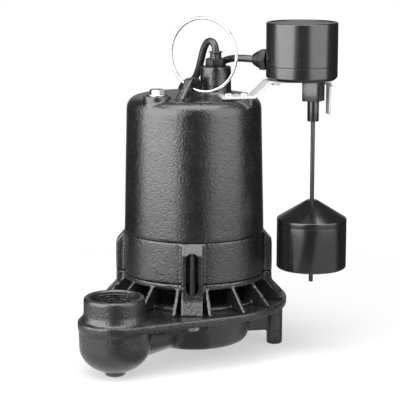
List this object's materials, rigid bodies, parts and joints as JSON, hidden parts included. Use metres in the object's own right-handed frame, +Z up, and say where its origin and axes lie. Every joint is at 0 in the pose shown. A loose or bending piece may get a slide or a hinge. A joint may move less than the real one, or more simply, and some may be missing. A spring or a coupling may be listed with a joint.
{
  "type": "submersible sump pump",
  "caption": "Cast-iron submersible sump pump with a top inlet strainer, an upright threaded discharge elbow, a lifting ring and a vertical float switch.",
  "frame": {"origin": "point on the floor under the motor axis", "axes": "+Z up along the motor shaft, -Y the front, +X towards the float switch"},
  "size_m": [0.2569, 0.3853, 0.3306],
  "materials": {
    "cast_paint": "gloss black enamel over sand-cast iron",
    "bright_steel": "zinc-plated hexagon heads, lightly brushed",
    "ring_steel": "bright stainless wire",
    "strap_steel": "bright stainless strap",
    "bearing_steel": "ground bearing and shaft steel",
    "lamination": "stacked electrical steel",
    "winding": "varnished copper wire",
    "die_cast": "die-cast end rings and steel core",
    "switch_plastic": "satin black moulding",
    "float_plastic": "smooth black blow moulding",
    "gland_plastic": "black nylon",
    "cord_rubber": "black cord jacket",
    "plug_rubber": "moulded black plug",
    "blade_brass": "bare brass",
    "seal_rubber": "black nitrile",
    "seal_ceramic": "white ceramic face",
    "impeller_plastic": "glass-filled black polymer"
  },
  "bodies": {
    "pump": {"motor_housing": "cast_paint", "seal_housing": "cast_paint", "housing_gasket": "seal_rubber", "strainer": "cast_paint", "volute": "cast_paint", "tie_bolts": "bright_steel", "stator_core": "lamination", "stator_windings": "winding", "thermal_protector": "switch_plastic", "upper_bearing": "bearing_steel", "lower_bearing": "bearing_steel", "wave_washer": "bearing_steel", "bearing_retaining_ring": "bearing_steel", "seal_seat": "seal_ceramic", "oil_plug": "bright_steel", "oil_plug_washer": "seal_rubber", "gland_nut": "gland_plastic", "cord_strain_relief": "plug_rubber", "switch_bracket": "strap_steel", "bracket_screws": "bright_steel", "switch_screw": "bright_steel", "switch_base": "switch_plastic", "switch_cover": "switch_plastic", "switch_gland": "gland_plastic", "rod_guide": "switch_plastic", "arm_fork": "switch_plastic", "arm_pin": "bearing_steel", "microswitch": "switch_plastic", "power_cord": "cord_rubber", "power_cord_coil": "cord_rubber", "power_cord_tail": "cord_rubber", "power_plug": "plug_rubber", "power_plug_blades": "blade_brass", "power_plug_earth_pin": "blade_brass", "switch_cable": "cord_rubber", "switch_cable_coil": "cord_rubber", "switch_cable_tail": "cord_rubber", "piggyback_plug": "plug_rubber", "piggyback_plug_blades": "blade_brass", "piggyback_plug_earth_pin": "blade_brass"},
    "rotor": {"motor_shaft": "bearing_steel", "rotor_core": "die_cast", "seal_head": "seal_rubber", "seal_spring": "bearing_steel", "impeller": "impeller_plastic", "impeller_nut": "bright_steel"},
    "ring": {"handle_ring": "ring_steel"},
    "rod": {"float_rod": "switch_plastic", "rod_clips": "bright_steel", "actuator_stem": "switch_plastic"},
    "float": {"float": "float_plastic"},
    "arm": {"switch_arm": "switch_plastic"}
  },
  "joints": [
    {"name": "rotor_spin", "type": "hinge", "parent": "pump", "child": "rotor", "pos_m": [0, 0, 0.1], "axis": [0, 0, 1], "continuous": true},
    {"name": "ring_swing", "type": "hinge", "parent": "pump", "child": "ring", "pos_m": [-0.00458, -0.02113, 0.263], "axis": [0.8829, -0.4695, 0], "range_deg": [-8, 70]},
    {"name": "rod_lift", "type": "slide", "parent": "pump", "child": "rod", "axis": [0, 0, 1], "range_m": [0, 0.006]},
    {"name": "float_slide", "type": "slide", "parent": "rod", "child": "float", "axis": [0, 0, 1], "range_m": [0, 0.0765]},
    {"name": "arm_swing", "type": "hinge", "parent": "pump", "child": "arm", "pos_m": [0.095, -0.0175, 0.2829], "axis": [0, -1, 0], "range_deg": [0, 17.7]}
  ],
  "couplings": [
    {"joint": "arm_swing", "follows": "rod_lift", "rad_per_m": 51.28}
  ]
}
